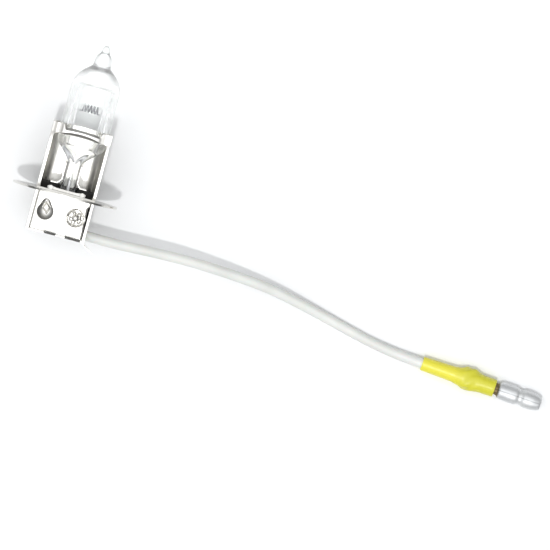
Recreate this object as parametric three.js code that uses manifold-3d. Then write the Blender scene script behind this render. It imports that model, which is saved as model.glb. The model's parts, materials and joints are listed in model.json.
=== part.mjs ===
// Headlight bulb with a round flange and a flying lead, in millimetres.
// +Y runs along the lamp axis from the base to the glass tip, +Z is up, and +X is the side the lead
// leaves on.
// The origin is the centre of the flange's seat, the face that points to the glass tip.
import * as THREE from "three";
import { mergeVertices } from "three/addons/utils/BufferGeometryUtils.js";
import Module from "manifold-3d";

const wasm = await Module();
wasm.setup();

// Driving dimensions.
const CLEAR = 0.05; // between pieces that sit against each other
const WALL = 0.5; // sheet thickness of the cage and the base
const BOX_X = 6.1; // half width of the cage and the base
const BOX_Z = 5.7; // half depth of the cage and the base
const BOX_BEND = 2.7; // outer bend radius at the back corners
const CAGE_TOP = 13.9;
const WINDOW_TOP = 11.8;
const SILL_TOP = 0.3;
const FLANGE_R = 11;
const FLANGE_T = 0.4;
const BASE_TOP = -FLANGE_T - CLEAR;
const BASE_BOTTOM = -8.7;
const GLASS_R = 5.1;
const GLASS_BORE_R = 3.45;
const CAPSULE_X = 0.45; // the capsule is set off the cage's middle so that the filament is centred in use
const PINCH_X = 0.15;
const PINCH_HALF_X = 1.4;
const PINCH_HALF_Z = 4.4;
const PINCH_FOOT_Y = 0.9;
const LIGHT_CENTRE_Y = 18;
const LEAD_IN_Z = 2.2; // of each lead-in wire, either side of the pinch's middle
const WIRE_R = 0.28;
const LEAD_R = 1.05;
const EXIT_Y = -7.3;
const EXIT_Z = -2.7;
const TABLE_Z = -FLANGE_R;
const SLEEVE_START = [79.9, -14.8, TABLE_Z + 1.95];
const SLEEVE_TURN = THREE.MathUtils.degToRad(-4.0);
const SLEEVE_LENGTH = 15.7;

const INNER_X = BOX_X - WALL;
const INNER_Z = BOX_Z - WALL;
const PACKED_BEND = BOX_BEND - WALL - 0.1; // of the pieces that lie inside the cage and the base

// Materials.
const metal = (color, roughness) =>
  new THREE.MeshStandardMaterial({ color, roughness, metalness: 1 });
const plain = (color, roughness) =>
  new THREE.MeshStandardMaterial({ color, roughness, metalness: 0 });
const NICKEL = metal(0xe4e3dd, 0.22);
const TUNGSTEN = metal(0x5c5c60, 0.5);
const MOLYBDENUM = metal(0x9a9a9c, 0.4);
const COPPER = metal(0xc9855a, 0.4);
const TIN = metal(0xc4c6c8, 0.3);
const CERAMIC = plain(0xe9e4d8, 0.7);
const FIBRE = plain(0x2a2622, 0.8);
const SILICONE = plain(0xebeeeb, 0.5);
const YELLOW_VINYL = plain(0xf0ec5a, 0.35);
const QUARTZ = new THREE.MeshStandardMaterial({
  color: 0xf4f8f8,
  roughness: 0.03,
  metalness: 0,
  transparent: true,
  opacity: 0.3,
});

const bulb = new THREE.Group();

function add(name, shape, material, parent = bulb) {
  const mesh = new THREE.Mesh(shape instanceof THREE.BufferGeometry ? shape : toGeometry(shape), material);
  mesh.name = name;
  parent.add(mesh);
  return mesh;
}

// Booleans.
function toSolid(geometry) {
  const bare = geometry.clone();
  bare.deleteAttribute("normal");
  bare.deleteAttribute("uv");
  const merged = mergeVertices(bare, 1e-4);
  return new wasm.Manifold(
    new wasm.Mesh({
      numProp: 3,
      vertProperties: merged.attributes.position.array,
      triVerts: new Uint32Array(merged.index.array),
    }),
  );
}

function toGeometry(solid) {
  const mesh = solid.getMesh();
  const geometry = new THREE.BufferGeometry();
  geometry.setAttribute("position", new THREE.BufferAttribute(mesh.vertProperties, 3));
  geometry.setIndex(new THREE.BufferAttribute(mesh.triVerts, 1));
  geometry.computeVertexNormals();
  return geometry;
}

const join = (first, ...rest) => rest.reduce((all, next) => all.add(next), first);
const cut = (first, ...rest) => rest.reduce((all, next) => all.subtract(next), first);

// Simple solids.
function box([x0, x1], [y0, y1], [z0, z1]) {
  const geometry = new THREE.BoxGeometry(x1 - x0, y1 - y0, z1 - z0);
  return toSolid(geometry.translate((x0 + x1) / 2, (y0 + y1) / 2, (z0 + z1) / 2));
}

// A flat outline drawn in X and Y, given depth from z0 to z1.
function plateZ(outline, z0, z1, curveSegments = 12) {
  const options = { depth: z1 - z0, bevelEnabled: false, curveSegments };
  return toSolid(new THREE.ExtrudeGeometry(outline, options).translate(0, 0, z0));
}

// A flat outline drawn in X and Z, given length along Y from y0 to y1.
function lengthY(outline, y0, y1, curveSegments = 12) {
  const options = { depth: y1 - y0, bevelEnabled: false, curveSegments };
  const geometry = new THREE.ExtrudeGeometry(outline, options);
  return toSolid(geometry.rotateX(Math.PI / 2).translate(0, y1, 0));
}

// A profile of [radius, height] points turned about the Y axis.
function turned(profile, segments) {
  return new THREE.LatheGeometry(profile.map(([r, y]) => new THREE.Vector2(r, y)), segments);
}

function cylinder(axis, radius, from, to, [a, b], segments = 24) {
  const rod = turned([[0, from], [radius, from], [radius, to], [0, to]], segments);
  if (axis === "z") return toSolid(rod.rotateX(Math.PI / 2).translate(a, b, 0));
  if (axis === "x") return toSolid(rod.rotateZ(-Math.PI / 2).translate(0, a, b));
  return toSolid(rod.translate(a, 0, b));
}

// A round wire or cord through the given points.
function wire(points, radius, sides, steps) {
  const section = new THREE.Shape();
  for (let i = 0; i < sides; i += 1) {
    const turn = (i / sides) * 2 * Math.PI;
    section[i ? "lineTo" : "moveTo"](radius * Math.cos(turn), radius * Math.sin(turn));
  }
  section.closePath();
  const spots = points.map((p) => new THREE.Vector3(...p));
  const extrudePath = new THREE.CatmullRomCurve3(spots, false, "centripetal");
  return new THREE.ExtrudeGeometry(section, { steps, extrudePath, bevelEnabled: false });
}

// A skin through rings of [position along Y, centre X, half X, half Z, squareness]; a squareness of 2
// is an ellipse.
function loft(rings, segments) {
  const points = [];
  const faces = [];
  const bend = (v, power) => Math.sign(v) * Math.abs(v) ** (2 / power);
  for (const [y, x, halfX, halfZ, power] of rings) {
    for (let i = 0; i < segments; i += 1) {
      const turn = (i / segments) * 2 * Math.PI;
      points.push(x + halfX * bend(Math.cos(turn), power), y, halfZ * bend(Math.sin(turn), power));
    }
  }
  const [first, last] = [rings[0], rings[rings.length - 1]];
  const bottom = points.length / 3;
  points.push(first[1], first[0], 0, last[1], last[0], 0);
  const top = (rings.length - 1) * segments;
  for (let i = 0; i < segments; i += 1) {
    const next = (i + 1) % segments;
    for (let row = 0; row < top; row += segments) {
      faces.push(row + i, row + segments + i, row + next);
      faces.push(row + next, row + segments + i, row + segments + next);
    }
    faces.push(bottom, i, next);
    faces.push(bottom + 1, top + next, top + i);
  }
  const geometry = new THREE.BufferGeometry();
  geometry.setAttribute("position", new THREE.Float32BufferAttribute(points, 3));
  geometry.setIndex(faces);
  return geometry;
}

// The outline of the box from above its end: square at the front, bent round at the two back corners.
function boxOutline(halfX, halfZ, bend, PathType = THREE.Shape) {
  const path = new PathType();
  path.moveTo(halfX, halfZ);
  path.lineTo(-halfX, halfZ);
  path.lineTo(-halfX, -halfZ + bend);
  path.absarc(-halfX + bend, -halfZ + bend, bend, Math.PI, 1.5 * Math.PI, false);
  path.lineTo(halfX - bend, -halfZ);
  path.absarc(halfX - bend, -halfZ + bend, bend, 1.5 * Math.PI, 2 * Math.PI, false);
  path.closePath();
  return path;
}

// A back and two sides in one bent sheet, open at the front.
function channel(y0, y1) {
  const outside = lengthY(boxOutline(BOX_X, BOX_Z, BOX_BEND), y0, y1, 6);
  const inside = lengthY(boxOutline(INNER_X, INNER_Z, BOX_BEND - WALL), y0 - 1, y1 + 1, 6);
  return cut(outside, inside, box([-INNER_X, INNER_X], [y0 - 1, y1 + 1], [0, BOX_Z + 1]));
}

// Glass: a quartz tube drawn in to a flat pinch below and to a thick dome with a sealed tip above.
function glassEnvelope() {
  const outer = loft(
    [
      [PINCH_FOOT_Y, PINCH_X, 1.9, PINCH_HALF_Z, 8],
      [1.6, PINCH_X, 1.75, PINCH_HALF_Z, 8],
      [2.4, PINCH_X, PINCH_HALF_X + 0.05, PINCH_HALF_Z, 8],
      [6.4, PINCH_X, PINCH_HALF_X, PINCH_HALF_Z, 7],
      [7.0, 0.18, 1.8, 4.5, 5],
      [9.3, 0.35, 3.95, 4.9, 2.6],
      [9.9, 0.4, 4.7, 5.0, 2.2],
      [10.7, CAPSULE_X, GLASS_R, GLASS_R, 2],
      [22.0, CAPSULE_X, GLASS_R, GLASS_R, 2],
      [23.2, CAPSULE_X, 4.85, 4.85, 2],
      [24.4, CAPSULE_X, 4.3, 4.3, 2],
      [25.6, CAPSULE_X, 3.45, 3.45, 2],
      [26.5, CAPSULE_X, 2.6, 2.6, 2],
      [27.1, CAPSULE_X, 1.95, 1.95, 2],
      [28.2, CAPSULE_X, 1.75, 1.75, 2],
      [29.1, CAPSULE_X, 1.45, 1.45, 2],
      [29.7, CAPSULE_X, 0.9, 0.9, 2],
      [30.7, CAPSULE_X, 0.75, 0.75, 2],
      [31.3, CAPSULE_X, 0.35, 0.35, 2],
    ],
    40,
  );
  const bore = turned(
    [
      [0, 9.8],
      [2.9, 9.8],
      [3.3, 10.1],
      [GLASS_BORE_R, 10.7],
      [GLASS_BORE_R, 21.9],
      [3.35, 22.4],
      [3.0, 22.7],
      [2.2, 22.9],
      [1.1, 23.0],
      [0, 23.05],
    ],
    40,
  ).translate(CAPSULE_X, 0, 0);
  const passages = [-1, 1].map((side) =>
    box(
      [PINCH_X - 0.4, PINCH_X + 0.4],
      [PINCH_FOOT_Y - 1, 11],
      [side * LEAD_IN_Z - 1.05, side * LEAD_IN_Z + 1.05],
    ),
  );
  return cut(toSolid(outer), toSolid(bore), ...passages);
}

// The coil lies across the lamp axis at the light centre, with a straight tail at each end.
function filamentCoil() {
  const [turns, radius, length, steps] = [5, 0.72, 3.5, 12];
  const left = CAPSULE_X - length / 2;
  const bottom = LIGHT_CENTRE_Y - radius;
  const points = [[left - 0.42, bottom, 0]];
  for (let i = 0; i <= turns * steps; i += 1) {
    const turn = (i / steps) * 2 * Math.PI;
    const x = left + (length * i) / (turns * steps);
    points.push([x, LIGHT_CENTRE_Y - radius * Math.cos(turn), radius * Math.sin(turn)]);
  }
  points.push([left + length + 0.42, bottom, 0]);
  return wire(points, 0.13, 6, turns * steps + 4);
}

// A support stands on its foil, spreads to one side above the pinch, and ends beside the coil's tail.
function supportWire(side) {
  const x = CAPSULE_X + side * 2.7;
  const points = [
    [PINCH_X, 7.3, -side * LEAD_IN_Z],
    [PINCH_X, 10.4, -side * LEAD_IN_Z],
    [PINCH_X + side * 1.3, 12.2, -side * 1.3],
    [x - side * 0.15, 14, -side * 0.25],
    [x, 15.5, 0],
    [x, 18.2, 0],
  ];
  return wire(points, WIRE_R, 8, 20);
}

function moveFoil(side) {
  return box(
    [PINCH_X - 0.04, PINCH_X + 0.04],
    [3.0, 7.2],
    [side * LEAD_IN_Z - 0.9, side * LEAD_IN_Z + 0.9],
  );
}

function groundLead() {
  return wire(
    [
      [PINCH_X, 2.9, LEAD_IN_Z],
      [PINCH_X, -0.8, LEAD_IN_Z],
      [-0.9, -2.0, 2.7],
      [-2.4, -3.4, 3.5],
      [-3.2, -4.3, 3.75],
    ],
    WIRE_R,
    8,
    18,
  );
}

function liveLead() {
  const points = [2.9, 0, -3.7].map((y) => [PINCH_X, y, -LEAD_IN_Z]);
  return wire(points, WIRE_R, 8, 6);
}

// Cage: the channel closed at the front by a low sill and by a band with an arched lower edge.
function bulbCage() {
  const band = new THREE.Shape();
  band.moveTo(-BOX_X, WINDOW_TOP);
  band.lineTo(BOX_X, WINDOW_TOP);
  band.lineTo(BOX_X, CAGE_TOP);
  band.lineTo(4.35, CAGE_TOP);
  band.lineTo(3.85, CAGE_TOP - 0.6);
  band.lineTo(-3.85, CAGE_TOP - 0.6);
  band.lineTo(-4.35, CAGE_TOP);
  band.lineTo(-BOX_X, CAGE_TOP);
  band.closePath();
  const sill = box([-BOX_X, BOX_X], [-FLANGE_T, SILL_TOP], [INNER_Z, BOX_Z]);
  return join(channel(-FLANGE_T, CAGE_TOP), plateZ(band, INNER_Z, BOX_Z, 10), sill);
}

// A thin spring jaw lies on one broad face of the pinch and stands on the pad by a bent foot.
function pinchJaw(side) {
  const [sheet, foot, top] = [0.28, 1.66, 6.2];
  const near = PINCH_X + side * (PINCH_HALF_X + 0.1);
  const outline = new THREE.Shape();
  outline.moveTo(near, 2.7);
  outline.lineTo(near, top);
  outline.lineTo(near + side * sheet, top + 0.2);
  outline.lineTo(near + side * sheet, 2.7);
  outline.lineTo(near + side * 1.0, foot + sheet);
  outline.lineTo(near + side * 2.3, foot + sheet);
  outline.lineTo(near + side * 2.3, foot);
  outline.lineTo(near + side * 0.85, foot);
  outline.closePath();
  return plateZ(outline, -2.6, 2.4);
}

// The pad closes the base below the glass and holds the foot of the pinch in a pocket open to the front.
function insulatingPad() {
  const [bottom, top, front] = [-0.35, 1.6, 2.6];
  const pad = lengthY(boxOutline(INNER_X - 0.1, INNER_Z - 0.1, PACKED_BEND), bottom, top, 6);
  const pocket = box([PINCH_X - 2.1, PINCH_X + 2.1], [PINCH_FOOT_Y - 0.1, 3], [-4.6, 6]);
  const holes = [-1, 1].map((side) => cylinder("y", 0.55, -2, 2, [PINCH_X, side * LEAD_IN_Z]));
  const rivetHoles = [-1, 1].map((side) => cylinder("z", 0.36, 1, 6, [side * 3.3, 0.62], 16));
  return cut(pad, box([-9, 9], [-2, 3], [front, 9]), pocket, ...holes, ...rivetHoles);
}

function clampSaddle() {
  const outline = new THREE.Shape();
  outline.moveTo(-3.9, 0.34);
  outline.lineTo(3.9, 0.34);
  outline.lineTo(4.0, 0.85);
  outline.lineTo(3.6, 1.1);
  outline.lineTo(2.1, 0.85);
  outline.lineTo(-2.1, 0.85);
  outline.lineTo(-3.6, 1.1);
  outline.lineTo(-4.0, 0.85);
  outline.closePath();
  const holes = [-1, 1].map((side) => cylinder("z", 0.36, 4, 6, [side * 3.3, 0.62], 16));
  return cut(plateZ(outline, 4.5, 4.9, 6), ...holes);
}

function saddleRivet(side) {
  const head = cylinder("z", 0.52, 4.93, 5.3, [side * 3.3, 0.66], 16);
  const shank = cylinder("z", 0.3, 1.2, 5.0, [side * 3.3, 0.62], 16);
  return join(head, shank);
}

// Flange: a thin disc around the cage, with one locating notch in its rim.
function flangeDisc() {
  const disc = new THREE.Shape();
  disc.absarc(0, 0, FLANGE_R, 0, 2 * Math.PI, false);
  disc.holes.push(boxOutline(BOX_X + CLEAR, BOX_Z + CLEAR, BOX_BEND, THREE.Path));
  const plate = lengthY(disc, -FLANGE_T, 0, 48);
  const notch = box([FLANGE_R - 1.1, FLANGE_R + 1], [-1, 1], [-0.7, 0.7]);
  return cut(plate, notch.rotate([0, -28, 0]));
}

function baseShell() {
  const exitHole = cylinder("x", 1.4, 3, 8, [EXIT_Y, EXIT_Z]);
  const exitSlot = box([3, 8], [BASE_BOTTOM - 1, EXIT_Y], [EXIT_Z - 1.4, EXIT_Z + 1.4]);
  return cut(channel(BASE_BOTTOM, BASE_TOP), exitHole, exitSlot);
}

function circleOutline(x, y, radius) {
  const outline = new THREE.Shape();
  outline.absarc(x, y, radius, 0, 2 * Math.PI, false);
  return outline;
}

function dropOutline(x, y, radius, tip) {
  const outline = new THREE.Shape();
  outline.moveTo(x, tip);
  outline.quadraticCurveTo(x - 0.7 * radius, tip - 0.35 * radius, x - radius, y);
  outline.absarc(x, y, radius, Math.PI, 2 * Math.PI, false);
  outline.quadraticCurveTo(x + 0.7 * radius, tip - 0.35 * radius, x, tip);
  return outline;
}

// Front plate: a pressed drop on the left, a round recess for the rivet on the right, and a wedge gap
// at the right edge.
const DIMPLE_X = 3.2;
const DIMPLE_Y = -4.1;
const PLATE_BOTTOM = -8.35;

function frontPlate() {
  const [back, front] = [5.1, 5.6];
  const plate = box([-INNER_X + CLEAR, INNER_X - CLEAR], [PLATE_BOTTOM, BASE_TOP - CLEAR], [back, front]);
  const bosses = [
    plateZ(dropOutline(-DIMPLE_X, DIMPLE_Y - 0.3, 2.0, -1.5), 4.35, back + 0.1),
    plateZ(circleOutline(DIMPLE_X, DIMPLE_Y, 2.2), 4.4, back + 0.1, 24),
  ];
  const recesses = [
    plateZ(dropOutline(-DIMPLE_X, DIMPLE_Y - 0.3, 1.75, -1.8), 4.7, 7),
    plateZ(circleOutline(DIMPLE_X, DIMPLE_Y, 1.95), 4.75, 7, 24),
    cylinder("z", 0.65, 3, 7, [DIMPLE_X, DIMPLE_Y]),
  ];
  const gap = new THREE.Shape();
  gap.moveTo(INNER_X + 0.1, -1.15);
  gap.lineTo(INNER_X - 0.65, -1.7);
  gap.lineTo(INNER_X - 0.1, -7.2);
  gap.lineTo(INNER_X + 0.1, -7.2);
  gap.closePath();
  return cut(join(plate, ...bosses), ...recesses, plateZ(gap, 4, 7));
}

function blockRivet() {
  const head = turned([[0, 4.8], [1.25, 4.8], [1.25, 5.1], [0.8, 5.4], [0, 5.5]], 24);
  const shank = cylinder("z", 0.58, 0.4, 4.9, [DIMPLE_X, DIMPLE_Y]);
  return join(toSolid(head.rotateX(Math.PI / 2).translate(DIMPLE_X, DIMPLE_Y, 0)), shank);
}

// Ceramic block in the base: the joint runs in its tunnel, and the lead enters from the right.
function insulatorBlock() {
  const bent = lengthY(boxOutline(5.2, 4.9, PACKED_BEND), -7.7, -1.0, 6);
  const body = cut(bent, box([-6, 6], [-8, 0], [1.5, 6]));
  const raised = box([1.1, 5.2], [-6.6, -1.6], [1.4, 4.3]);
  const tunnel = box([PINCH_X - 1, PINCH_X + 1], [-9, 0], [-3.4, -1.1]);
  const leadWay = box([PINCH_X - 1, 7], [-9, -6.1], [EXIT_Z - 1.2, EXIT_Z + 1.2]);
  const rivetHole = cylinder("z", 0.65, 0.2, 5, [DIMPLE_X, DIMPLE_Y]);
  const groundWay = box([-1, 0.9], [-1.9, 0], [1, 3]);
  return cut(join(body, raised), tunnel, leadWay, rivetHole, groundWay);
}

// The end plate closes the base below; its two front tabs show under the front plate.
function endPlate() {
  const [top, depth] = [PLATE_BOTTOM - CLEAR, INNER_Z - 0.1];
  const plate = lengthY(boxOutline(INNER_X - CLEAR, depth, PACKED_BEND), BASE_BOTTOM, top, 6);
  const tabs = [
    box([-2.3, 0.2], [BASE_BOTTOM, top], [depth - 0.1, 5.6]),
    box([2.0, INNER_X - CLEAR], [BASE_BOTTOM, top], [depth - 0.1, 5.6]),
  ];
  return join(plate, ...tabs);
}

function ferrule() {
  const ring = turned([[0.5, -5.4], [0.75, -5.4], [0.75, -2.6], [0.5, -2.6], [0.5, -5.4]], 20);
  return ring.translate(PINCH_X, 0, -LEAD_IN_Z);
}

function coreInBase() {
  return wire(
    [
      [2.3, EXIT_Y, EXIT_Z],
      [1.3, EXIT_Y + 0.1, -2.6],
      [0.45, -6.6, -2.35],
      [PINCH_X, -5.7, -LEAD_IN_Z],
      [PINCH_X, -4.2, -LEAD_IN_Z],
    ],
    0.42,
    8,
    12,
  );
}

function leadBush() {
  const ring = turned([[1.14, 5.58], [1.36, 5.58], [1.36, 6.15], [1.14, 6.15], [1.14, 5.58]], 24);
  return ring.rotateZ(-Math.PI / 2).translate(0, EXIT_Y, EXIT_Z);
}

// The lead leaves the base to the right, sinks to the table in a long bend and rises into its sleeve.
const LEAD_ROUTE = [
  [6.2, -7.3, -2.7],
  [9.5, -7.35, -2.7],
  [12.8, -7.35, -2.75],
  [16.5, -7.2, -2.9],
  [21.5, -7.0, -3.25],
  [27.5, -6.9, -3.95],
  [33.5, -7.1, -4.95],
  [39.5, -7.5, -6.15],
  [45.5, -8.15, -7.4],
  [51.5, -9.3, -8.55],
  [57.5, -10.7, -9.4],
  [63.5, -12.2, -9.85],
  [69.0, -13.45, -9.9],
  [74.2, -14.3, -9.6],
  [77.9, -14.66, -9.25],
  [80.9, -14.87, -9.05],
  [86.7, -15.27, -9.05],
];

function leadInsulation() {
  return wire(LEAD_ROUTE, LEAD_R, 8, 48);
}

// What is on the lead's far end is built along Y from the sleeve's mouth, then turned to lie along the lead.
const plug = new THREE.Group();
plug.position.set(...SLEEVE_START);
plug.rotation.set(0, 0, SLEEVE_TURN - Math.PI / 2);
bulb.add(plug);

function insulatingSleeve() {
  const outer = loft(
    [
      [0, 0, 1.42, 1.42, 2],
      [1.2, 0, 1.46, 1.46, 2],
      [6.8, 0, 1.6, 1.58, 2],
      [8.2, 0, 1.95, 1.75, 2.2],
      [9.0, 0, 2.4, 1.9, 2.6],
      [11.0, 0, 2.4, 1.9, 2.6],
      [12.1, 0, 1.95, 1.86, 2.2],
      [13.0, 0, 1.84, 1.84, 2],
      [SLEEVE_LENGTH, 0, 1.84, 1.84, 2],
    ],
    32,
  );
  const bore = turned([[0, -1], [1.18, -1], [1.18, 7], [1.62, 8.2], [1.62, 17], [0, 17]], 32);
  return cut(toSolid(outer), toSolid(bore));
}

// The terminal is one sheet rolled into a split tube: a crimp barrel inside the sleeve, then the bullet.
function bulletTerminal() {
  const sheet = 0.34;
  const outside = [
    [1.5, 9.2],
    [1.5, 16.1],
    [1.85, 16.8],
    [1.88, 20.3],
    [1.5, 21.0],
    [1.5, 21.5],
    [1.86, 22.2],
    [1.8, 24.0],
    [1.4, 25.5],
    [1.25, 25.7],
  ];
  const inside = outside.map(([r, y]) => [r - sheet, y]).reverse();
  const rolled = turned([...outside, ...inside, outside[0]], 32);
  const seam = box([-0.25, 0.25], [9, 27], [0, 3]);
  return cut(toSolid(rolled), seam);
}

function coreInTerminal() {
  return wire([[0, 7.1, 0], [0, 10, 0], [0, 13.5, 0]], 0.9, 10, 4);
}

add("glass_envelope", glassEnvelope(), QUARTZ);
add("filament_coil", filamentCoil(), TUNGSTEN);
add("support_wire_left", supportWire(-1), MOLYBDENUM);
add("support_wire_right", supportWire(1), MOLYBDENUM);
add("pinch_foil_front", moveFoil(1), MOLYBDENUM);
add("pinch_foil_rear", moveFoil(-1), MOLYBDENUM);
add("outer_lead_ground", groundLead(), MOLYBDENUM);
add("outer_lead_live", liveLead(), MOLYBDENUM);
add("bulb_cage", bulbCage(), NICKEL);
add("pinch_jaw_left", pinchJaw(-1), NICKEL);
add("pinch_jaw_right", pinchJaw(1), NICKEL);
add("insulating_pad", insulatingPad(), FIBRE);
add("clamp_saddle", clampSaddle(), NICKEL);
add("saddle_rivet_left", saddleRivet(-1), NICKEL);
add("saddle_rivet_right", saddleRivet(1), NICKEL);
add("flange_disc", flangeDisc(), NICKEL);
add("base_shell", baseShell(), NICKEL);
add("front_plate", frontPlate(), NICKEL);
add("block_rivet", blockRivet(), NICKEL);
add("insulator_block", insulatorBlock(), CERAMIC);
add("end_plate", endPlate(), NICKEL);
add("joint_ferrule", ferrule(), TIN);
add("lead_core_base_end", coreInBase(), COPPER);
add("lead_bush", leadBush(), SILICONE);
add("lead_end_in_base", cylinder("x", LEAD_R, 2.4, 6.15, [EXIT_Y, EXIT_Z], 12), SILICONE);
add("lead_insulation", leadInsulation(), SILICONE);
add("insulating_sleeve", insulatingSleeve(), YELLOW_VINYL, plug);
add("bullet_terminal", bulletTerminal(), TIN, plug);
add("lead_core_plug_end", coreInTerminal(), COPPER, plug);

export default bulb;
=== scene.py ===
import json
import math

import bmesh
import bpy
from mathutils import Matrix, Vector


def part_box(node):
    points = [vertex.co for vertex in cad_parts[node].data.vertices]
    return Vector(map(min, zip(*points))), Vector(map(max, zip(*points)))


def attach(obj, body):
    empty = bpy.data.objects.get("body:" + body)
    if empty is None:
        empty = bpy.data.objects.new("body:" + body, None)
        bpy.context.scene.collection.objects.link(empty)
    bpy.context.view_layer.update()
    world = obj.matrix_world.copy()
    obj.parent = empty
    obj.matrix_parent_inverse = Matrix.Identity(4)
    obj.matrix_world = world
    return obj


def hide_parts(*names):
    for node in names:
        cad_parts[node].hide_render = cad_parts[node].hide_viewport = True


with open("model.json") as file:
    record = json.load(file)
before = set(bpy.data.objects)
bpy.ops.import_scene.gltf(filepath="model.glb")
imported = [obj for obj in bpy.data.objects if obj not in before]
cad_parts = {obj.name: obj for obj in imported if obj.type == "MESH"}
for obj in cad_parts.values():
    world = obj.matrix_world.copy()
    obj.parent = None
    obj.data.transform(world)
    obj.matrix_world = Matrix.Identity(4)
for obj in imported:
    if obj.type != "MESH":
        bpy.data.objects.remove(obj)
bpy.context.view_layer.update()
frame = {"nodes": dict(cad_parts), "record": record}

MM = 0.001

TABLE_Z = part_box("flange_disc")[0].z

# The lead and its plug, in millimetres. Places along the plug are measured from the sleeve's mouth.
LEAD_R = 1.05
SLEEVE_START = Vector((79.9, -14.8, -9.05))
SLEEVE_TURN = math.radians(-4.0)
SLEEVE_LENGTH = 15.7
NECK_END = 16.7
# The folds of the sleeve go no further than this below its axis, which is just above the table.
SLEEVE_REST = -1.93

# The glass and the filament, in millimetres.
CAPSULE_X = 0.45
PINCH_X = 0.15
LIGHT_CENTRE_Y = 18.0

# The sheet metal of the cage and the base, in millimetres.
BOX_X, BOX_Z, BOX_BEND, WALL = 6.1, 5.7, 2.7, 0.5
WINDOW_TOP, CAGE_TOP = 11.8, 13.9
PLATE_FRONT, PLATE_BOTTOM = 5.6, -8.35
DROP, DROP_R = Vector((-3.15, -4.35)), 1.72
DIAMOND = Vector((-3.07, -3.55))
ROUND, ROUND_R, ROUND_DEPTH = Vector((3.2, -4.1)), 1.95, 0.52
TABS = [(-2.35, 0.2), (2.0, 5.35)]
TAB_RISE = 0.28

# The view and the light.
VIEW_TURN = math.radians(15.2)
SKY_STRENGTH = 1.5
KEY_STRENGTH = 1.0
# Shadows fall a little to the right and away, by these lengths for each unit of height.
SHADOW_RIGHT = 0.10
SHADOW_AWAY = 0.19
# The sky's brightness at some heights, from 0 at the horizon to 1 overhead.
SKY = [(0.0, 0.07), (0.35, 0.09), (0.60, 0.26), (0.80, 0.90), (0.88, 1.0)]

# How strongly the quartz shows, at some places along the lamp axis in millimetres.
QUARTZ_OPACITY = [
    (9.2, 1.0),
    (9.9, 0.62),
    (11.6, 0.62),
    (13.5, 0.84),
    (21.6, 0.84),
    (22.6, 1.0),
    (24.4, 0.95),
    (26.0, 0.55),
    (27.4, 0.80),
]


# ---------------------------------------------------------------- camera, floor and light
def make_camera():
    """A long lens almost straight above the table, turned so that the lamp axis leans right."""
    look_at = Vector((45.65, -4.87, 0)) * MM
    roll, pitch = math.radians(2.5), math.radians(2.0)
    distance, field = 2.5, 0.1122
    data = bpy.data.cameras.new("camera")
    data.sensor_width = 36
    data.lens = data.sensor_width * distance / field
    data.clip_start, data.clip_end = 0.05, 20
    camera = bpy.data.objects.new("camera", data)
    bpy.context.scene.collection.objects.link(camera)
    lean = Matrix.Rotation(-roll, 4, "Y") @ Matrix.Rotation(-pitch, 4, "X")
    rotation = lean @ Matrix.Rotation(VIEW_TURN, 4, "Z")
    above = look_at + rotation @ Vector((0, 0, distance))
    camera.matrix_world = Matrix.Translation(above) @ rotation
    bpy.context.scene.camera = camera


def make_sky():
    """A sky, bright overhead and dim at the horizon, that the camera sees as a pale wall."""
    world = bpy.data.worlds.new("studio")
    bpy.context.scene.world = world
    world.use_nodes = True
    nodes, links = world.node_tree.nodes, world.node_tree.links
    nodes.clear()
    coordinates = nodes.new("ShaderNodeTexCoord")
    # The height in the sky, tipped so that the far right of the room is darker than the near left.
    height = nodes.new("ShaderNodeVectorMath")
    height.operation = "DOT_PRODUCT"
    height.inputs[1].default_value = (-0.11, -0.10, 1.0)
    links.new(coordinates.outputs["Generated"], height.inputs[0])
    rows = [(place, (level * 0.99, level, level * 1.01)) for place, level in SKY]
    sky = nodes.new("ShaderNodeBackground")
    sky.inputs["Strength"].default_value = SKY_STRENGTH
    links.new(colour_ramp(nodes, links, height.outputs["Value"], rows), sky.inputs["Color"])
    wall = nodes.new("ShaderNodeBackground")
    wall.inputs["Color"].default_value = (0.93, 0.94, 0.95, 1)
    path = nodes.new("ShaderNodeLightPath")
    choice = nodes.new("ShaderNodeMixShader")
    links.new(path.outputs["Is Camera Ray"], choice.inputs["Fac"])
    links.new(sky.outputs[0], choice.inputs[1])
    links.new(wall.outputs[0], choice.inputs[2])
    output = nodes.new("ShaderNodeOutputWorld")
    links.new(choice.outputs[0], output.inputs["Surface"])


def make_stage():
    """A pale table, the sky, and one lamp high above."""
    bpy.context.scene.view_settings.view_transform = "Standard"
    mesh = bpy.data.meshes.new("table")
    half, gap = 3.0, 0.02 * MM
    corners = [(-half, -half), (half, -half), (half, half), (-half, half)]
    mesh.from_pydata([(x, y, TABLE_Z - gap) for x, y in corners], [], [(0, 1, 2, 3)])
    table = bpy.data.objects.new("table", mesh)
    bpy.context.scene.collection.objects.link(table)
    table.data.materials.append(table_material())

    make_sky()
    lamp = bpy.data.lights.new("key", "SUN")
    lamp.energy = KEY_STRENGTH
    lamp.angle = math.radians(3)
    key = bpy.data.objects.new("key", lamp)
    bpy.context.scene.collection.objects.link(key)
    turn = Matrix.Rotation(VIEW_TURN, 3, "Z")
    direction = turn @ Vector((-SHADOW_RIGHT, -SHADOW_AWAY, 1.0))
    key.rotation_mode = "QUATERNION"
    key.rotation_quaternion = direction.to_track_quat("Z", "Y")


# ---------------------------------------------------------------- materials
def new_material(name):
    """An empty material, its node lists, its shader and the place on the object in metres."""
    material = bpy.data.materials.new(name)
    material.use_nodes = True
    nodes, links = material.node_tree.nodes, material.node_tree.links
    shader = nodes["Principled BSDF"]
    coordinates = nodes.new("ShaderNodeTexCoord")
    return material, nodes, links, shader, coordinates.outputs["Object"]


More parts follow.
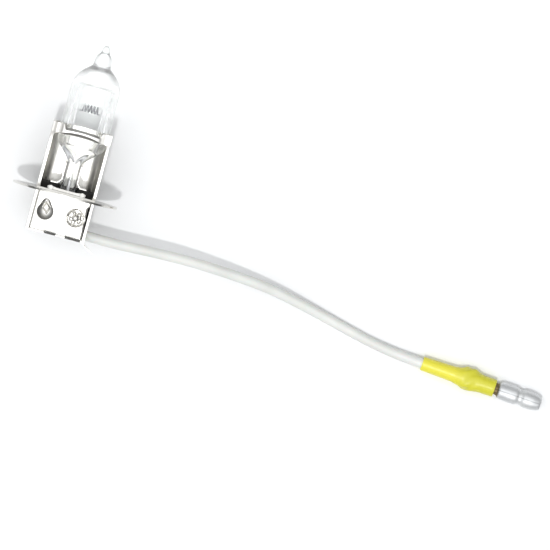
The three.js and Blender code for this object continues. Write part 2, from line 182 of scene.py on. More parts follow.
def noise(nodes, links, where, scale, detail, roughness=0.5):
    node = nodes.new("ShaderNodeTexNoise")
    node.inputs["Scale"].default_value = scale
    node.inputs["Detail"].default_value = detail
    node.inputs["Roughness"].default_value = roughness
    links.new(where, node.inputs["Vector"])
    return node.outputs["Fac"]


def spread(nodes, links, value, low, high):
    """Maps a noise value, which keeps near 0.5, to the range low to high."""
    node = nodes.new("ShaderNodeMapRange")
    node.inputs["From Min"].default_value = 0.3
    node.inputs["From Max"].default_value = 0.7
    node.inputs["To Min"].default_value = low
    node.inputs["To Max"].default_value = high
    links.new(value, node.inputs["Value"])
    return node.outputs["Result"]


def colour_ramp(nodes, links, value, rows):
    """A ramp through rows of a place from 0 to 1 and the colour there."""
    ramp = nodes.new("ShaderNodeValToRGB")
    while len(ramp.color_ramp.elements) < len(rows):
        ramp.color_ramp.elements.new(0.5)
    for element, (place, colour) in zip(ramp.color_ramp.elements, rows):
        element.position = place
        element.color = (*colour, 1)
    links.new(value, ramp.inputs["Fac"])
    return ramp.outputs["Color"]


def two_colours(nodes, links, value, first, second):
    """The first colour where a noise value is low and the second where it is high."""
    return colour_ramp(nodes, links, value, [(0.35, first), (0.65, second)])


def share_along(nodes, links, where, axis, first, last):
    """0 where the place along the axis is first, in millimetres, and 1 where it is last."""
    split = nodes.new("ShaderNodeSeparateXYZ")
    links.new(where, split.inputs[0])
    share = nodes.new("ShaderNodeMapRange")
    share.inputs["From Min"].default_value = first * MM
    share.inputs["From Max"].default_value = last * MM
    links.new(split.outputs[axis], share.inputs["Value"])
    return share.outputs["Result"]


def stretched(nodes, links, where, factors):
    node = nodes.new("ShaderNodeVectorMath")
    node.operation = "MULTIPLY"
    node.inputs[1].default_value = factors
    links.new(where, node.inputs[0])
    return node.outputs[0]


def bump(nodes, links, shader, height, depth):
    """Small waves in the surface, of a depth in millimetres."""
    node = nodes.new("ShaderNodeBump")
    node.inputs["Distance"].default_value = depth * MM
    links.new(height, node.inputs["Height"])
    links.new(node.outputs["Normal"], shader.inputs["Normal"])


def metal_material(name, light, dark, rough, grain=(1, 1, 1)):
    """Plated or drawn metal: slight stains, fine grain along one direction, uneven gloss."""
    material, nodes, links, shader, where = new_material(name)
    shader.inputs["Metallic"].default_value = 1.0
    stains = noise(nodes, links, where, 260, 4)
    links.new(two_colours(nodes, links, stains, dark, light), shader.inputs["Base Color"])
    fine = noise(nodes, links, stretched(nodes, links, where, grain), 5200, 3, 0.6)
    links.new(spread(nodes, links, fine, rough[0], rough[1]), shader.inputs["Roughness"])
    soft = noise(nodes, links, where, 420, 2)
    bump(nodes, links, shader, soft, 0.004)
    return material


def tinted_below(material, axis, first, last, colour):
    """Gives the material another colour below a place on the axis, blending from first to last."""
    nodes, links = material.node_tree.nodes, material.node_tree.links
    shader = nodes["Principled BSDF"]
    own = shader.inputs["Base Color"].links[0].from_socket
    where = nodes["Texture Coordinate"].outputs["Object"]
    share = share_along(nodes, links, where, axis, first, last)
    mixed = nodes.new("ShaderNodeMix")
    mixed.data_type = "RGBA"
    colours = {socket.name: socket for socket in mixed.inputs if socket.type == "RGBA"}
    colours["A"].default_value = (*colour, 1)
    links.new(share, mixed.inputs["Factor"])
    links.new(own, colours["B"])
    result = next(socket for socket in mixed.outputs if socket.type == "RGBA")
    links.new(result, shader.inputs["Base Color"])
    return material


def tin_material():
    """Dull tin plate, with the neck behind the bullet's shoulder a dark bronze: bare metal and
    painted shade.
    """
    plate, stain = (0.80, 0.81, 0.81), (0.72, 0.73, 0.74)
    material = metal_material("tin", plate, stain, (0.55, 0.70), (0.1, 1, 1))
    neck = SLEEVE_START.x + NECK_END
    # Painted shade: the neck is coloured dark bronze, darker than the bare metal, for the shadow in
    # the groove where it meets the sleeve.
    return tinted_below(material, "X", neck - 0.3, neck, (0.26, 0.20, 0.11))


def rivet_material():
    """Nickel, with painted shade: nearly black in the pits that the punch left."""
    material = metal_material("rivet_nickel", (0.70, 0.69, 0.66), (0.60, 0.59, 0.56), (0.20, 0.34))
    floor, blend = PLATE_FRONT - ROUND_DEPTH, 0.22
    # Painted shade: all of the rivet below its seat, in the pits and down its sides, is coloured
    # nearly black.
    return tinted_below(material, "Z", floor - blend, floor + blend, (0.05, 0.05, 0.05))


def quartz_material():
    """Clear quartz with faint waves, less opaque at the shoulder and at the neck of the tip."""
    material, nodes, links, shader, where = new_material("quartz")
    shader.inputs["Base Color"].default_value = (0.965, 0.975, 0.97, 1)
    shader.inputs["Transmission Weight"].default_value = 1.0
    shader.inputs["IOR"].default_value = 1.458
    first, last = 5.0, 30.0
    rows = [((y - first) / (last - first), (level,) * 3) for y, level in QUARTZ_OPACITY]
    along = share_along(nodes, links, where, "Y", first, last)
    links.new(colour_ramp(nodes, links, along, rows), shader.inputs["Alpha"])
    haze = noise(nodes, links, where, 700, 3)
    links.new(spread(nodes, links, haze, 0.0, 0.025), shader.inputs["Roughness"])
    waves = noise(nodes, links, stretched(nodes, links, where, (1, 0.25, 1)), 330, 2)
    bump(nodes, links, shader, waves, 0.018)
    return material


def silicone_material():
    material, nodes, links, shader, where = new_material("silicone")
    grime = noise(nodes, links, where, 160, 4)
    links.new(
        two_colours(nodes, links, grime, (0.70, 0.71, 0.68), (0.76, 0.77, 0.74)),
        shader.inputs["Base Color"],
    )
    fine = noise(nodes, links, where, 3000, 3)
    links.new(spread(nodes, links, fine, 0.38, 0.55), shader.inputs["Roughness"])
    shader.inputs["Subsurface Weight"].default_value = 0.12
    shader.inputs["Subsurface Scale"].default_value = 0.0008
    bump(nodes, links, shader, fine, 0.012)
    return material


def vinyl_material():
    """Clear yellow vinyl: bright over the white lead, olive over the metal of the crimp."""
    material, nodes, links, shader, where = new_material("yellow_vinyl")
    along = share_along(nodes, links, where, "X", SLEEVE_START.x, SLEEVE_START.x + SLEEVE_LENGTH)
    rows = [(0.42, (0.96, 0.89, 0.075)), (0.60, (0.80, 0.77, 0.055))]
    links.new(colour_ramp(nodes, links, along, rows), shader.inputs["Base Color"])
    fine = noise(nodes, links, where, 1500, 3)
    links.new(spread(nodes, links, fine, 0.30, 0.42), shader.inputs["Roughness"])
    shader.inputs["Transmission Weight"].default_value = 0.2
    shader.inputs["IOR"].default_value = 1.5
    soft = noise(nodes, links, where, 500, 2)
    bump(nodes, links, shader, soft, 0.010)
    return material


def plain_material(name, first, second, rough, scale=900, depth=0.010):
    """A matt, mottled material of two near colours."""
    material, nodes, links, shader, where = new_material(name)
    mottle = noise(nodes, links, where, scale, 5, 0.6)
    links.new(two_colours(nodes, links, mottle, first, second), shader.inputs["Base Color"])
    links.new(spread(nodes, links, mottle, rough[0], rough[1]), shader.inputs["Roughness"])
    bump(nodes, links, shader, noise(nodes, links, where, scale * 4, 4), depth)
    return material


def table_material():
    dark, light = (0.90, 0.905, 0.91), (0.92, 0.925, 0.93)
    return plain_material("table_paper", dark, light, (0.7, 0.8), 40, 0.001)


# ---------------------------------------------------------------- mesh helpers
def finish_piece(piece, material, replaced):
    """Gives a piece its material, its body and the CAD nodes that it stands for."""
    piece.data.materials.clear()
    piece.data.materials.append(material)
    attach(piece, "root")
    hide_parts(*replaced)
    return piece


def link_mesh(name, mesh):
    piece = bpy.data.objects.new(name, mesh)
    bpy.context.scene.collection.objects.link(piece)
    return piece


def mesh_piece(name, build, sharp_degrees, outward=False):
    """A piece from a finished bmesh, smooth but for its sharp edges."""
    if outward:
        bmesh.ops.recalc_face_normals(build, faces=build.faces)
    mesh = bpy.data.meshes.new(name)
    build.to_mesh(mesh)
    build.free()
    smooth(mesh, sharp_degrees)
    return link_mesh(name, mesh)


def smooth(mesh, sharp_degrees):
    for polygon in mesh.polygons:
        polygon.use_smooth = True
    mesh.set_sharp_from_angle(angle=math.radians(sharp_degrees))


def tube(build, rows):
    """Faces round a tube through the rows of vertices, open at both ends."""
    count = len(rows[0])
    for lower, upper in zip(rows, rows[1:]):
        for i in range(count):
            j = (i + 1) % count
            build.faces.new((lower[i], lower[j], upper[j], upper[i]))


def add_rings(build, rings):
    return [[build.verts.new(Vector(point) * MM) for point in ring] for ring in rings]


def skin(name, rings, sharp_degrees):
    """A closed mesh through rings of points, capped at both ends."""
    build = bmesh.new()
    rows = add_rings(build, rings)
    tube(build, rows)
    build.faces.new(rows[0][::-1])
    build.faces.new(rows[-1])
    return mesh_piece(name, build, sharp_degrees, outward=True)


def refined(name, node, width):
    """The CAD node's own shape with merged facets and rounded edges."""
    mesh = frame["nodes"][node].data.copy()
    build = bmesh.new()
    build.from_mesh(mesh)
    bmesh.ops.remove_doubles(build, verts=build.verts, dist=0.000002)
    flat = math.radians(1)
    bmesh.ops.dissolve_limit(build, angle_limit=flat, verts=build.verts, edges=build.edges)
    build.to_mesh(mesh)
    build.free()
    smooth(mesh, 32)
    piece = link_mesh(name, mesh)
    bevel = piece.modifiers.new("rounded edges", "BEVEL")
    bevel.width = width * MM
    bevel.segments = 2
    bevel.limit_method = "ANGLE"
    bevel.angle_limit = math.radians(35)
    bevel.use_clamp_overlap = True
    bevel.harden_normals = True
    return piece


def spline(points, per_span=8):
    """Points along the centripetal Catmull-Rom curve through the given points."""
    route = [Vector(p) for p in points]
    route = [2 * route[0] - route[1]] + route + [2 * route[-1] - route[-2]]
    out = []
    for p0, p1, p2, p3 in zip(route, route[1:], route[2:], route[3:]):
        t1 = (p1 - p0).length ** 0.5
        t2 = t1 + (p2 - p1).length ** 0.5
        t3 = t2 + (p3 - p2).length ** 0.5
        for i in range(per_span):
            t = t1 + (t2 - t1) * i / per_span
            a1 = p0 * ((t1 - t) / t1) + p1 * (t / t1)
            a2 = p1 * ((t2 - t) / (t2 - t1)) + p2 * ((t - t1) / (t2 - t1))
            a3 = p2 * ((t3 - t) / (t3 - t2)) + p3 * ((t - t2) / (t3 - t2))
            b1 = a1 * ((t2 - t) / t2) + a2 * (t / t2)
            b2 = a2 * ((t3 - t) / (t3 - t1)) + a3 * ((t - t1) / (t3 - t1))
            out.append(b1 * ((t2 - t) / (t2 - t1)) + b2 * ((t - t1) / (t2 - t1)))
    out.append(Vector(points[-1]))
    return out


def curve_piece(name, points, radius, around):
    """A round wire or cord as a curve of one open spline through the points."""
    curve = bpy.data.curves.new(name, "CURVE")
    curve.dimensions = "3D"
    line = curve.splines.new("POLY")
    line.points.add(len(points) - 1)
    for spot, point in zip(line.points, points):
        spot.co = (*(Vector(point) * MM), 1)
    curve.bevel_depth = radius * MM
    curve.bevel_resolution = around // 4
    curve.use_fill_caps = True
    piece = bpy.data.objects.new(name, curve)
    bpy.context.scene.collection.objects.link(piece)
    return piece


def soft_profile(points, steps):
    """A profile of rows of numbers, made denser between its rows and then rounded off twice."""
    out = []
    for before, after in zip(points, points[1:]):
        for i in range(steps):
            t = i / steps
            out.append([a + (b - a) * t for a, b in zip(before, after)])
    out.append(list(points[-1]))
    for _ in range(2):
        middle = [
            [(a[k] + 2 * b[k] + c[k]) / 4 for k in range(len(b))]
            for a, b, c in zip(out, out[1:], out[2:])
        ]
        out = [out[0], *middle, out[-1]]
    return out


def squared(angle, power):
    """A point of the unit circle for power 2, and of a squarer outline for a higher power."""
    spot = (math.cos(angle), math.sin(angle))
    return [math.copysign(abs(v) ** (2 / power), v) for v in spot]


# ---------------------------------------------------------------- pieces: the lead and its plug
LEAD_ROUTE = [
    (6.2, -7.3, -2.7),
    (9.5, -7.35, -2.7),
    (12.8, -7.35, -2.75),
    (16.5, -7.2, -2.9),
    (21.5, -7.0, -3.25),
    (27.5, -6.9, -3.95),
    (33.5, -7.1, -4.95),
    (39.5, -7.5, -6.15),
    (45.5, -8.15, -7.4),
    (51.5, -9.3, -8.55),
    (57.5, -10.7, -9.4),
    (63.5, -12.2, -9.85),
    (69.0, -13.45, -9.9),
    (74.2, -14.3, -9.6),
    (77.9, -14.66, -9.25),
    (80.9, -14.87, -9.05),
    (86.7, -15.27, -9.05),
]


def along_plug(forward, side, up):
    """A point by its place along the sleeve's axis, to its side and above it."""
    return SLEEVE_START + Matrix.Rotation(SLEEVE_TURN, 3, "Z") @ Vector((forward, side, up))


def make_sleeve():
    around = 72
    outside = soft_profile(
        [
            (0.0, 1.40, 1.40),
            (0.25, 1.46, 1.46),
            (1.2, 1.47, 1.47),
            (6.8, 1.60, 1.58),
            (8.2, 1.90, 1.72),
            (9.0, 2.30, 1.84),
            (11.0, 2.34, 1.84),
            (12.1, 1.98, 1.84),
            (13.0, 1.84, 1.84),
            (15.4, 1.84, 1.84),
            (SLEEVE_LENGTH, 1.78, 1.78),
        ],
        6,
    )

    def ring(s, wide, high, wrinkled=True):
        points = []
        crimp = math.exp(-(((s - 10.1) / 1.5) ** 2)) if wrinkled else 0.0
        for i in range(around):
            angle = 2 * math.pi * i / around
            folds = 0.07 * math.cos(3 * angle + 0.6) + 0.05 * math.cos(5 * angle + 2.2 * s)
            y, z = squared(angle, 2 + 0.5 * crimp)
            swell = 1 + crimp * folds
            points.append(along_plug(s, wide * y * swell, max(high * z * swell, SLEEVE_REST)))
        return points

    inside = soft_profile([(SLEEVE_LENGTH, 1.62), (8.2, 1.62), (7.0, 1.16), (0.0, 1.16)], 3)
    rings = [ring(s, wide, high) for s, wide, high in outside]
    rings += [ring(s, radius, radius, False) for s, radius in inside]
    build = bmesh.new()
    rows = add_rings(build, rings)
    tube(build, [*rows, rows[0]])
    return mesh_piece("yellow_sleeve", build, 50, outward=True)


def make_terminal():
    """One sheet rolled into a split tube, with its seam on top."""
    sheet, gap, valley, around = 0.34, 0.04, 0.16, 64
    outside = soft_profile(
        [
            (9.2, 1.5),
            (14.6, 1.5),
            (15.0, 1.2),
            (16.4, 1.2),
            (16.8, 1.8),
            (20.3, 1.88),
            (21.0, 1.5),
            (21.5, 1.5),
            (22.2, 1.86),
            (24.0, 1.8),
            (25.3, 1.45),
            (25.7, 1.15),
        ],
        5,
    )

    def rolled(s, radius, angle):
        """A point at an angle from the seam, which is on top."""
        return along_plug(s, -radius * math.sin(angle), radius * math.cos(angle))

    rings = []
    for s, radius in outside:
        half = math.asin(gap / radius)
        # Angles from the seam, all the way round to the seam again.
        turns = even(half, 2 * math.pi - half, around)
        outer = [rolled(s, radius - valley * math.exp(-((a / 0.3) ** 2)), a) for a in turns]
        inner = [rolled(s, radius - sheet, a) for a in reversed(turns)]
        rings.append(outer + inner)
    return skin("rolled_bullet_terminal", rings, 40)


def make_lead(materials):
    vinyl = materials["yellow_vinyl"]
    sleeve = finish_piece(make_sleeve(), vinyl, ["insulating_sleeve"])
    terminal = finish_piece(make_terminal(), materials["tin"], ["bullet_terminal"])
    points = spline(LEAD_ROUTE)
    lead = curve_piece("white_lead", points, LEAD_R, 24)
    finish_piece(lead, materials["silicone"], ["lead_insulation"])


# -------------------------------------------------------------- pieces: the glass and the filament
def make_glass():
    around = 96
    outside = soft_profile(
        [
            (0.9, PINCH_X, 1.8, 4.3, 8),
            (1.6, PINCH_X, 1.75, 4.4, 8),
            (2.4, PINCH_X, 1.45, 4.4, 8),
            (6.4, PINCH_X, 1.40, 4.4, 7),
            (7.0, 0.18, 1.8, 4.5, 5),
            (9.3, 0.35, 3.95, 4.9, 2.6),
            (9.9, 0.4, 4.7, 5.0, 2.2),
            (10.7, CAPSULE_X, 5.1, 5.1, 2),
            (22.0, CAPSULE_X, 5.1, 5.1, 2),
            (23.2, CAPSULE_X, 4.85, 4.85, 2),
            (24.4, CAPSULE_X, 4.3, 4.3, 2),
            (25.5, CAPSULE_X, 3.45, 3.45, 2),
            (26.3, CAPSULE_X, 2.55, 2.55, 2),
            (26.9, CAPSULE_X, 1.85, 1.85, 2),
            (28.2, CAPSULE_X, 1.75, 1.75, 2),
            (29.1, CAPSULE_X, 1.45, 1.45, 2),
            (29.7, CAPSULE_X, 0.9, 0.9, 2),
            (30.7, CAPSULE_X, 0.75, 0.75, 2),
            (31.25, CAPSULE_X, 0.3, 0.3, 2),
        ],
        5,
    )
    inside = soft_profile(
        [
            (9.8, 0.5),
            (9.8, 2.9),
            (10.1, 3.3),
            (10.7, 3.45),
            (21.9, 3.45),
            (22.4, 3.35),
            (22.7, 3.0),
            (22.9, 2.2),
            (23.0, 1.1),
            (23.05, 0.3),
        ],
        4,
    )

    def ring(y, x, half_x, half_z, power):
        turns = [2 * math.pi * i / around for i in range(around)]
        spots = [squared(a, power) for a in turns]
        return [Vector((x + half_x * c, y, half_z * s)) for c, s in spots]

    outer = [ring(*row) for row in outside]
    bore = [ring(y, CAPSULE_X, r, r, 2) for y, r in inside]
    glass = skin("quartz_capsule", outer, 40)
    # The bore is a second skin whose faces look into the hollow.
    build = bmesh.new()
    build.from_mesh(glass.data)
    rows = add_rings(build, bore)
    tube(build, rows)
    build.faces.new(rows[0][::-1])
    build.faces.new(rows[-1])
    build.to_mesh(glass.data)
    build.free()
    smooth(glass.data, 40)
    glass.visible_shadow = False
    return glass


def make_filament():
    """A coil across the lamp axis with a straight tail at each end."""
    turns, radius, length, steps = 5, 0.72, 3.3, 28
    left = CAPSULE_X + 0.08 - length / 2
    bottom = LIGHT_CENTRE_Y - radius
    points = [(left - 0.55, bottom, 0)]
    for i in range(turns * steps + 1):
        turn = 2 * math.pi * i / steps
        x = left + length * i / (turns * steps)
        points.append((x, LIGHT_CENTRE_Y - radius * math.cos(turn), radius * math.sin(turn)))
    points.append((left + length + 0.45, bottom, 0))
    return curve_piece("tungsten_coil", points, 0.15, 12)


def make_support(side):
    """A leg that stands on its foil and spreads to the coil's tail on its side."""
    x = CAPSULE_X + side * 2.7
    points = spline(
        [
            (PINCH_X + side * 0.2, 6.9, -side * 2.0),
            (PINCH_X + side * 1.1, 8.3, -side * 1.4),
            (PINCH_X + side * 2.2, 9.9, -side * 0.7),
            (x - side * 0.1, 12.0, -side * 0.2),
            (x, 15.5, 0),
            (x, 18.2, 0),
        ]
    )
    return curve_piece("support_leg_" + ("left" if side < 0 else "right"), points, 0.22, 12)


# ---------------------------------------------------------------- pieces: sheet metal
def even(first, last, steps):
    return [first + (last - first) * i / steps for i in range(steps + 1)]


def ease(t):
    t = min(max(t, 0.0), 1.0)
    return t * t * (3 - 2 * t)


def thicken(piece, wall, edge):
    """Turns a sheet into a plate of the given wall, behind its faces, with rounded edges."""
    solid = piece.modifiers.new("wall", "SOLIDIFY")
    solid.thickness = wall * MM
    solid.offset = -1
    solid.use_even_offset = True
    bevel = piece.modifiers.new("rounded edges", "BEVEL")
    bevel.width = edge * MM
    bevel.segments = 2
    bevel.limit_method = "ANGLE"
    bevel.angle_limit = math.radians(50)
    bevel.harden_normals = True
    return piece


def band_point(x, t):
    """A point of the band's front: t runs from its lower edge to its upper edge."""
    low_edge, crest, end_rise = 13.1, 0.3, 0.8
    middle = max(0.0, 1 - ((x + 0.1) / 4.1) ** 2)
    ends = ease((abs(x - 0.2) - 3.6) / 0.5)
    upper = low_edge + crest * middle + end_rise * ends
    y = WINDOW_TOP + (upper - WINDOW_TOP) * t
    # The rib stands proud in the middle and fades out towards the edges and the corners.
    proud = 0.46 * middle**0.5 + 0.06
    up = ease((y - WINDOW_TOP) / (0.80 * middle + 0.15))
    down = 1 - 0.95 * ease((y - upper + 0.5) / 0.5) * (1 - ends)
    corner = ease((BOX_X - abs(x)) / 1.2)
    # A shallow groove runs down each corner block, the left one deeper.
    across = min(max((abs(x) - 4.0) / (BOX_X - 4.0), 0.0), 1.0)
    groove = (0.30 if x < 0 else 0.18) * math.sin(math.pi * across) ** 2
    return Vector((x, y, BOX_Z + proud * up * down * corner - groove))


def make_cage():
    """Back and two sides bent from one sheet, closed in front by a sill and by a ribbed band."""
    foot, sill = -0.35, 0.3
    heights = [foot] + even(sill, WINDOW_TOP, 14) + even(WINDOW_TOP, CAGE_TOP, 12)[1:]
    first_band_row = heights.index(WINDOW_TOP)
    arc = even(0, math.pi / 2, 12)
    flat_x, flat_z = BOX_X - BOX_BEND, BOX_Z - BOX_BEND
    outline = [(-BOX_X, z) for z in even(BOX_Z, -flat_z, 8)]
    bend = [(BOX_BEND * math.sin(a), BOX_BEND * math.cos(a)) for a in arc[1:]]
    outline += [(-flat_x - along, -flat_z - down) for down, along in bend]
    outline += [(x, -BOX_Z) for x in even(-flat_x, flat_x, 10)[1:]]
    outline += [(flat_x + along, -flat_z - down) for along, down in bend]
    outline += [(BOX_X, z) for z in even(-flat_z, BOX_Z, 8)[1:]]
    build = bmesh.new()
    columns = [[build.verts.new(Vector((x, y, z)) * MM) for y in heights] for x, z in outline]
    for near, far in zip(columns, columns[1:]):
        for j in range(len(heights) - 1):
            build.faces.new((near[j], near[j + 1], far[j + 1], far[j]))

    def front(spots, rows, place):
        """A strip across the front, between the front edges of the two sides."""
        strip = [[columns[0][j] for j in rows]]
        for x in spots[1:-1]:
            strip.append([build.verts.new(place(x, j) * MM) for j in rows])
        strip.append([columns[-1][j] for j in rows])
        for near, far in zip(strip, strip[1:]):
            for k in range(len(rows) - 1):
                build.faces.new((near[k], far[k], far[k + 1], near[k + 1]))

    front(even(-BOX_X, BOX_X, 12), [0, 1], lambda x, j: Vector((x, heights[j], BOX_Z)))
    band_rows = list(range(first_band_row, len(heights)))
    shares = [(y - WINDOW_TOP) / (CAGE_TOP - WINDOW_TOP) for y in heights]
    front(even(-BOX_X, BOX_X, 60), band_rows, lambda x, j: band_point(x, shares[j]))
    return thicken(mesh_piece("bent_cage", build, 40), WALL, 0.1)


def drop_depth(x, y):
    """The pressed drop: a bowl with a point towards the flange and a raised diamond in it."""
    offset = Vector((x, y)) - DROP
    from_tip = math.atan2(offset.x, offset.y) + 0.1
    reach = DROP_R * (1 + 0.62 * math.exp(-((from_tip / 0.45) ** 2)))
    share = offset.length / reach
    if share >= 1:
        return 0.0
    bowl = 0.76 * (1 - share**1.9)
    # The diamond stands upright as seen from above the table, so it is turned against the base.
    spot = Vector((x, y)) - DIAMOND
    across = spot.x * math.cos(VIEW_TURN) + spot.y * math.sin(VIEW_TURN)
    along = spot.y * math.cos(VIEW_TURN) - spot.x * math.sin(VIEW_TURN)
    half_across, half_along, rise = 0.87, 1.5, 0.5
    diamond = 1 - abs(across) / half_across - abs(along) / half_along
    return bowl - rise * min(max(diamond / 0.5, 0.0), 1.0)


def round_depth(x, y):
    """The round recess, whose wall is steeper in some places than in others."""
    offset = Vector((x, y)) - ROUND
    angle = math.atan2(offset.y, offset.x)
    wall = 0.50 + 0.15 * math.sin(3 * angle)
    return ROUND_DEPTH * ease((ROUND_R - offset.length) / wall)


def make_front_plate():
    left, right, bottom, top = -5.55, 5.55, PLATE_BOTTOM, -0.5
    gap_top, gap_widest, gap_end = -1.1, -1.7, -8.3
    narrow, wide = 0.14, 0.46
    columns, rows = 118, 84

    def right_edge(y):
        """The edge leaves a wedge gap to the side of the base, widest near its top."""
        if y > gap_widest:
            return right - wide * min(max((gap_top - y) / (gap_top - gap_widest), 0.0), 1.0)
        share = max(0.0, (y - gap_end) / (gap_widest - gap_end))
        return right - narrow - (wide - narrow) * share

    def tab_room(x):
        """The lower edge stands back where the end plate's tabs are."""
        return TAB_RISE if any(first < x < last for first, last in TABS) else 0.0

    def edge_fall(x, level):
        """How far the plate's edges are rolled down: left, right and below."""
        at_left = 0.16 * (1 - ease((x - left) / 0.40))
        at_right = 0.16 * (1 - ease((right_edge(level) - x) / 0.3))
        return at_left + at_right + 0.09 * (1 - ease((level - bottom) / 0.3))

    def dent_depth(x, y):
        """A small dent near the lower right corner."""
        return 0.07 * math.exp(-(((x - 4.1) / 0.9) ** 2) - ((y + 7.1) / 0.8) ** 2)

    build = bmesh.new()
    grid = []
    for share in even(0, 1, rows):
        row = []
        level = bottom + (top - bottom) * share
        for x in even(left, right_edge(level), columns):
            y = level + tab_room(x) * (1 - share)
            depth = drop_depth(x, y) + round_depth(x, y) + dent_depth(x, y) + edge_fall(x, level)
            row.append(build.verts.new(Vector((x, y, PLATE_FRONT - depth)) * MM))
        grid.append(row)
    for lower, upper in zip(grid, grid[1:]):
        for i in range(columns):
            build.faces.new((lower[i], lower[i + 1], upper[i + 1], upper[i]))
    return thicken(mesh_piece("pressed_front_plate", build, 60), 0.45, 0.1)


def make_end_plate():
    """The plate that closes the base, with two tabs that slope down from the front plate."""
    build = bmesh.new()

    def prism(ends):
        """A solid between two flat outlines."""
        rows = add_rings(build, ends)
        tube(build, rows)
        build.faces.new(rows[0])
        build.faces.new(rows[1][::-1])

    clear, inner, outer = 0.04, PLATE_BOTTOM + TAB_RISE - 0.03, PLATE_BOTTOM - 0.35
    tab = [(inner, 5.58), (outer, 5.12), (outer, 4.9), (inner, 4.9)]
    for first, last in TABS:
        prism([[(x, y, z) for y, z in tab] for x in (first + clear, last - clear)])
    bend, half_x, half_z = BOX_BEND - WALL - 0.1, 5.55, 5.1
    corner = even(0, math.pi / 2, 8)
    bent = [(bend * (1 - math.cos(a)), bend * (1 - math.sin(a))) for a in corner]
    rim = [(half_x, half_z), (-half_x, half_z)]
    rim += [(-half_x + x, -half_z + z) for x, z in bent]
    rim += [(half_x - x, -half_z + z) for x, z in reversed(bent)]
    prism([[(x, y, z) for x, z in rim] for y in (outer, PLATE_BOTTOM - 0.05)])
    piece = mesh_piece("base_end_plate", build, 30, outward=True)
    bevel = piece.modifiers.new("rounded edges", "BEVEL")
    bevel.width = 0.05 * MM
    bevel.segments = 2
    bevel.harden_normals = True
    return piece


def make_staked_rivet():
    """A rivet whose head was spread by a star punch: a domed middle with five pits round it."""
    rings, around = 26, 96
    edge, seat = 1.42, PLATE_FRONT - ROUND_DEPTH
    # Each pit has its angle in degrees, its distance from the middle, its radius and its depth.
    pits = [
        (157, 1.02, 0.56, 0.60),
        (229, 1.10, 0.34, 0.26),
        (288, 1.00, 0.46, 0.46),
        (14, 1.08, 0.44, 0.24),
        (88, 1.08, 0.42, 0.34),
    ]

    def height(r, angle):
        dome = 0.36 * max(0.0, 1 - (r / 0.78) ** 2)
        ring = 0.26 * (1 - ease((r - 1.0) / (edge - 1.0)))
        spot = Vector((r * math.cos(angle), r * math.sin(angle)))
        dug = 0.0
        for turn, away, radius, depth in pits:
            middle = away * Vector((math.cos(math.radians(turn)), math.sin(math.radians(turn))))
            dug = max(dug, depth * (1 - (spot - middle).length / radius))
        return max(seat + dome + ring - dug, seat - 0.25)

    build = bmesh.new()
    middle = build.verts.new(Vector((*ROUND, height(0, 0))) * MM)
    rows = []
    for k in range(1, rings + 1):
        r = edge * k / rings
        row = []
        for i in range(around):
            angle = 2 * math.pi * i / around
            spot = ROUND + r * Vector((math.cos(angle), math.sin(angle)))
            row.append(build.verts.new(Vector((*spot, height(r, angle))) * MM))
        rows.append(row)
    foot = [build.verts.new(Vector((v.co.x, v.co.y, (seat - 0.3) * MM))) for v in rows[-1]]
    rows.append(foot)
    for i in range(around):
        j = (i + 1) % around
        build.faces.new((middle, rows[0][i], rows[0][j]))
        for lower, upper in zip(rows, rows[1:]):
            build.faces.new((lower[i], upper[i], upper[j], lower[j]))
    build.faces.new(foot[::-1])
    return mesh_piece("staked_rivet", build, 50)


# ---------------------------------------------------------------- the whole bulb
def nickel_material(name, rough):
    """Nickel plate, rolled along the lamp axis."""
    return metal_material(name, (0.73, 0.72, 0.69), (0.68, 0.665, 0.63), rough, (1, 0.08, 1))


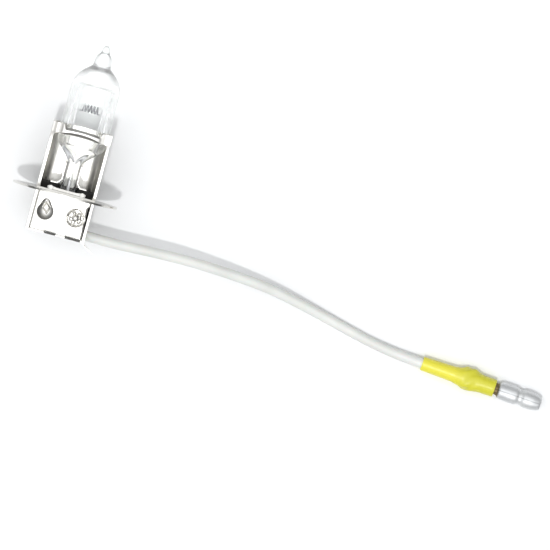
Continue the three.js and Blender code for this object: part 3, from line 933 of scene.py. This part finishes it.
def make_materials():
    return {
        "nickel": nickel_material("nickel", (0.14, 0.26)),
        "satin_nickel": nickel_material("satin_nickel", (0.27, 0.38)),
        "tin": tin_material(),
        "rivet_nickel": rivet_material(),
        "tungsten": metal_material(
            "tungsten", (0.34, 0.34, 0.36), (0.24, 0.24, 0.26), (0.35, 0.55)
        ),
        "molybdenum": metal_material(
            "molybdenum", (0.92, 0.92, 0.93), (0.86, 0.86, 0.88), (0.45, 0.60)
        ),
        "copper": metal_material("copper", (0.85, 0.50, 0.34), (0.70, 0.36, 0.22), (0.25, 0.40)),
        "quartz": quartz_material(),
        "silicone": silicone_material(),
        "yellow_vinyl": vinyl_material(),
        "ceramic": plain_material("ceramic", (0.74, 0.70, 0.62), (0.82, 0.79, 0.72), (0.55, 0.75)),
        "fibre": plain_material("fibre", (0.012, 0.011, 0.010), (0.030, 0.027, 0.024), (0.6, 0.85)),
    }


# The pieces that keep their CAD shape: name, CAD node, material slot, width of rounded edges.
REFINED = [
    ("round_flange", "flange_disc", "nickel", 0.08),
    ("base_channel", "base_shell", "nickel", 0.10),
    ("saddle_bar", "clamp_saddle", "nickel", 0.06),
    ("saddle_pin_left", "saddle_rivet_left", "nickel", 0.10),
    ("saddle_pin_right", "saddle_rivet_right", "nickel", 0.10),
    ("spring_jaw_left", "pinch_jaw_left", "nickel", 0.05),
    ("spring_jaw_right", "pinch_jaw_right", "nickel", 0.05),
    ("fibre_pad", "insulating_pad", "fibre", 0.10),
    ("ceramic_block", "insulator_block", "ceramic", 0.20),
    ("exit_bush", "lead_bush", "silicone", 0.05),
]


def main():
    make_camera()
    materials = make_materials()
    make_lead(materials)
    make_stage()
    finish_piece(make_glass(), materials["quartz"], ["glass_envelope"])
    finish_piece(make_filament(), materials["tungsten"], ["filament_coil"])
    for side, node in ((-1, "support_wire_left"), (1, "support_wire_right")):
        finish_piece(make_support(side), materials["molybdenum"], [node])
    finish_piece(make_cage(), materials["satin_nickel"], ["bulb_cage"])
    finish_piece(make_front_plate(), materials["nickel"], ["front_plate"])
    finish_piece(make_staked_rivet(), materials["rivet_nickel"], ["block_rivet"])
    finish_piece(make_end_plate(), materials["nickel"], ["end_plate"])
    for name, node, slot, width in REFINED:
        finish_piece(refined(name, node, width), materials[slot], [node])
    slots = {part["node"]: part["material_slot"] for part in frame["record"]["subparts"]}
    for node, piece in frame["nodes"].items():
        piece.data.materials.clear()
        piece.data.materials.append(materials[slots[node]])


main()
